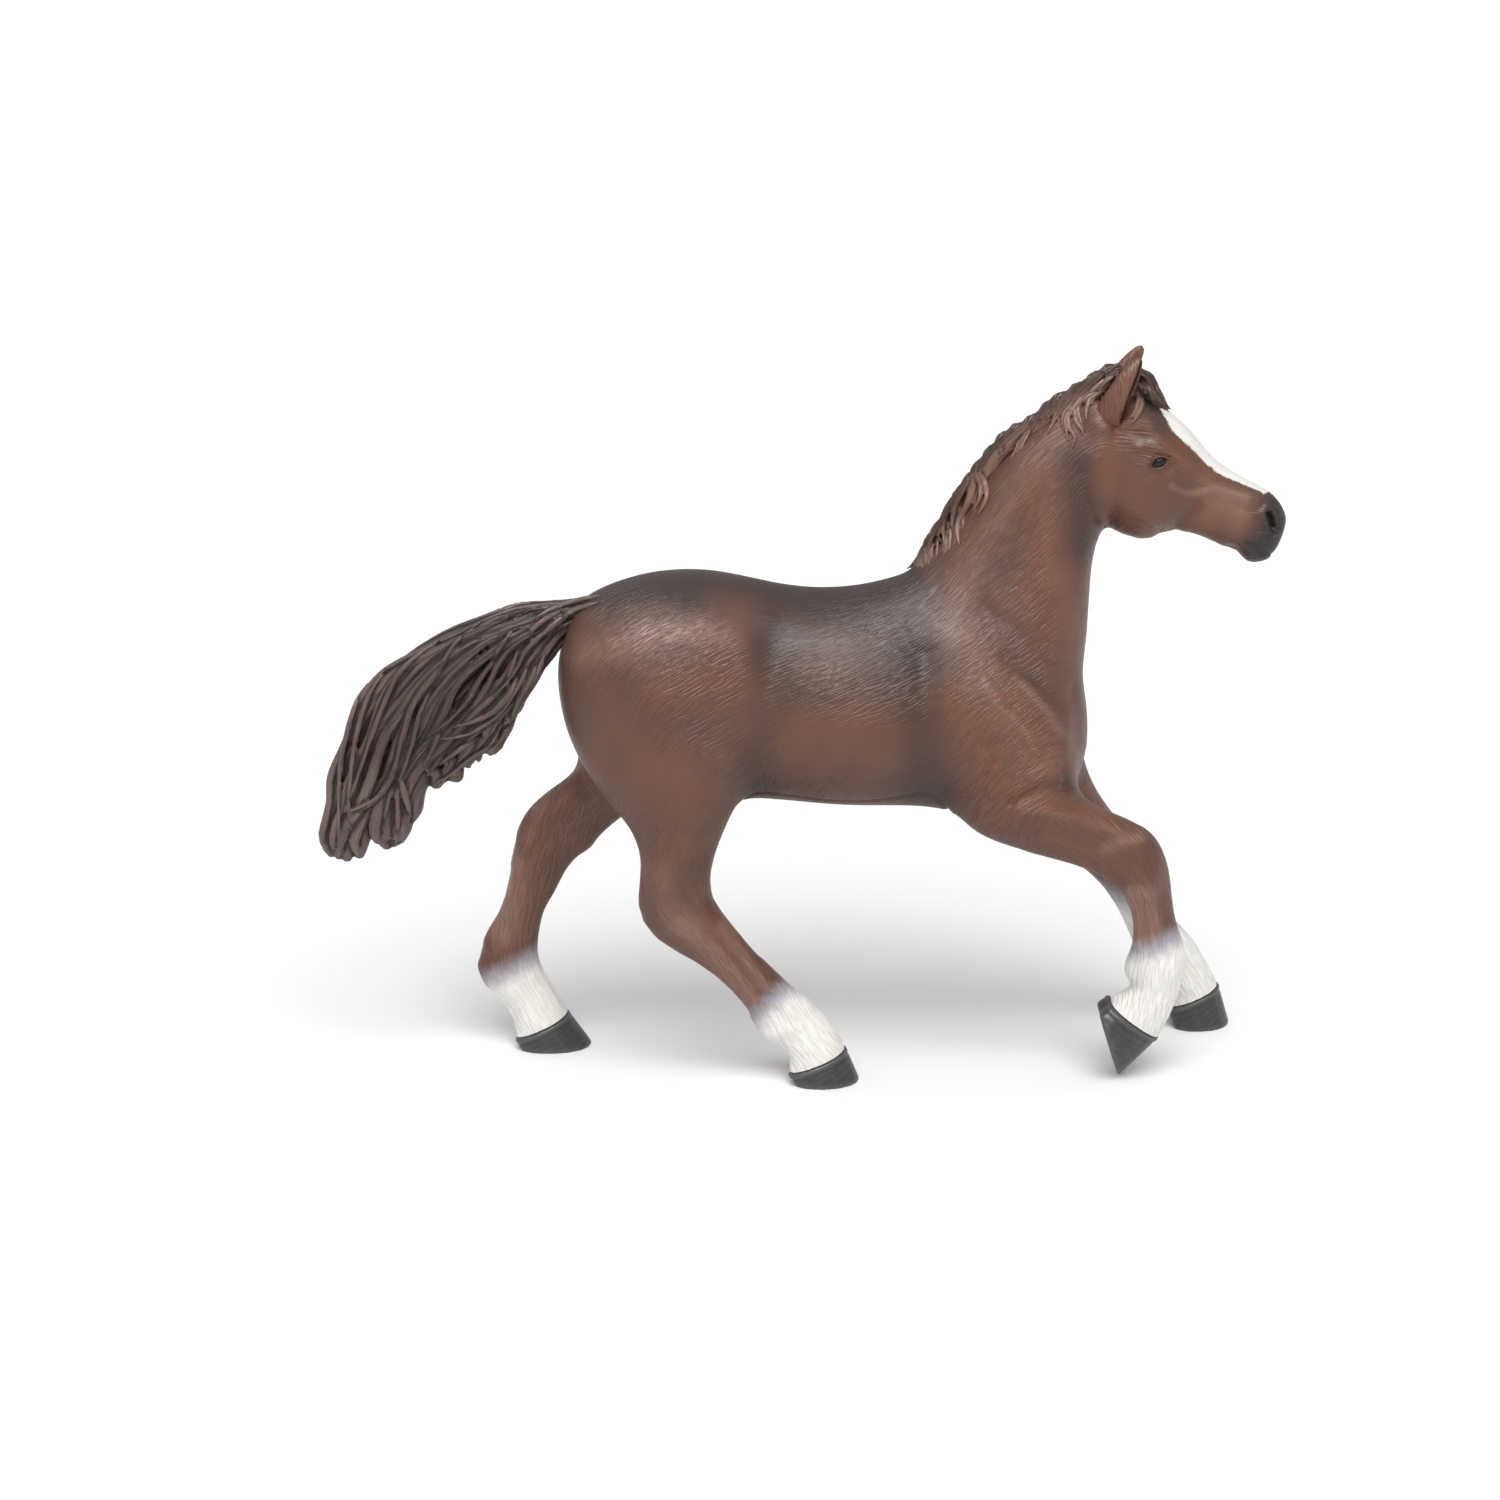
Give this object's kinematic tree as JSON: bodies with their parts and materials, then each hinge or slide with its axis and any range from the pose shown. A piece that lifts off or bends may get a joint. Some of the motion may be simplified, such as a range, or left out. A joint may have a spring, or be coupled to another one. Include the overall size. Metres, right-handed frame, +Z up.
{
  "type": "toy farm animal figure",
  "caption": "Moulded toy horse at a canter, in painted plastic, that stands on its hooves for pretend play.",
  "frame": {"origin": "centre of the bounding box, on the surface that the figure stands on", "axes": "+X towards the nose, +Y to the horse's left side, +Z up"},
  "size_m": [0.1534, 0.042, 0.1164],
  "materials": {
    "coat": "satin chestnut paint with finer shade along the back and white socks and blaze",
    "hair": "satin dark brown paint, lighter on the ridges",
    "hoof": "satin charcoal paint",
    "eye": "gloss black paint"
  },
  "bodies": {
    "root": {"body_shell": "coat", "belly_plate": "coat", "head": "coat", "right_ear": "coat", "left_ear": "coat", "right_eye": "eye", "left_eye": "eye", "forelock": "hair", "mane": "hair", "tail": "hair", "right_foreleg": "coat", "left_foreleg": "coat", "right_hindleg": "coat", "left_hindleg": "coat", "right_fore_hoof": "hoof", "left_fore_hoof": "hoof", "right_hind_hoof": "hoof", "left_hind_hoof": "hoof"}
  },
  "joints": []
}
